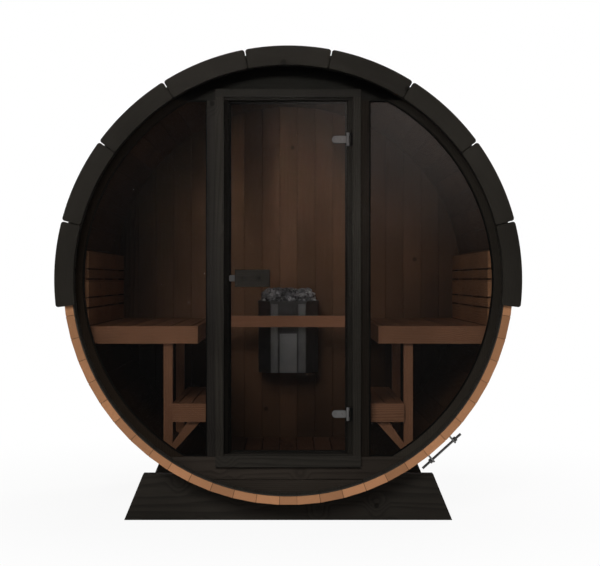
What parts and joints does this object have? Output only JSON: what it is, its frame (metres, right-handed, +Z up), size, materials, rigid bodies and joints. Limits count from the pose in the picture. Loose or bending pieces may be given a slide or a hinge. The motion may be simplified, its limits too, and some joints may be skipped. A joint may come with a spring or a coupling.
{
  "type": "barrel sauna",
  "caption": "Barrel-shaped garden sauna of wooden staves with a glazed front wall, a swinging glass door, benches, a stone heater and a curved shingle roof, on two cradles.",
  "frame": {"origin": "on the ground under the middle of the barrel", "axes": "+X to the right seen from the front, +Y from the glazed front to the back, +Z up"},
  "size_m": [2.062, 1.8, 2.1158],
  "materials": {
    "stave_wood": "heat-treated softwood, planed, sawn end grain",
    "dark_stained_wood": "charcoal stain over planed softwood",
    "smoked_glass": "smoke-tinted toughened glass",
    "steel": "satin stainless steel",
    "roof_shingle": "mineral granules on bitumen shingles",
    "bench_wood": "planed softwood",
    "heater_steel": "dull sheet steel",
    "heater_stone": "rough split stone"
  },
  "bodies": {
    "shell": {"bottom_staves": "stave_wood", "lower_left_staves": "stave_wood", "upper_left_staves": "stave_wood", "top_staves": "stave_wood", "upper_right_staves": "stave_wood", "lower_right_staves": "stave_wood", "front_lintel": "dark_stained_wood", "front_bottom_panel": "dark_stained_wood", "left_window_rim": "dark_stained_wood", "right_window_rim": "dark_stained_wood", "left_door_post": "dark_stained_wood", "right_door_post": "dark_stained_wood", "door_frame_left": "dark_stained_wood", "door_frame_right": "dark_stained_wood", "door_frame_head": "dark_stained_wood", "door_frame_sill": "dark_stained_wood", "front_roof_fascia": "dark_stained_wood", "rear_roof_fascia": "dark_stained_wood", "front_cradle": "dark_stained_wood", "rear_cradle": "dark_stained_wood", "rear_wall": "dark_stained_wood", "left_window_glass": "smoked_glass", "right_window_glass": "smoked_glass", "front_tension_band": "steel", "rear_tension_band": "steel", "front_band_bolt": "steel", "rear_band_bolt": "steel", "frame_hinge_plates": "steel", "roof_cover": "roof_shingle", "left_upper_bench": "bench_wood", "right_upper_bench": "bench_wood", "left_lower_bench": "bench_wood", "right_lower_bench": "bench_wood", "left_bench_frames": "bench_wood", "right_bench_frames": "bench_wood", "left_backrest": "bench_wood", "right_backrest": "bench_wood", "heater_guard_rail": "bench_wood", "floor_duckboard": "bench_wood", "heater_body": "heater_steel", "heater_stones": "heater_stone"},
    "door": {"door_glass": "smoked_glass", "door_hinge_clamps": "steel", "door_handle_outside": "dark_stained_wood", "door_handle_inside": "dark_stained_wood", "door_handle_bolts": "steel", "door_latch": "steel"}
  },
  "joints": [
    {"name": "door_swing", "type": "hinge", "parent": "shell", "child": "door", "pos_m": [0.266, -0.798, 1.085], "axis": [0, 0, 1], "range_deg": [0, 110]}
  ]
}
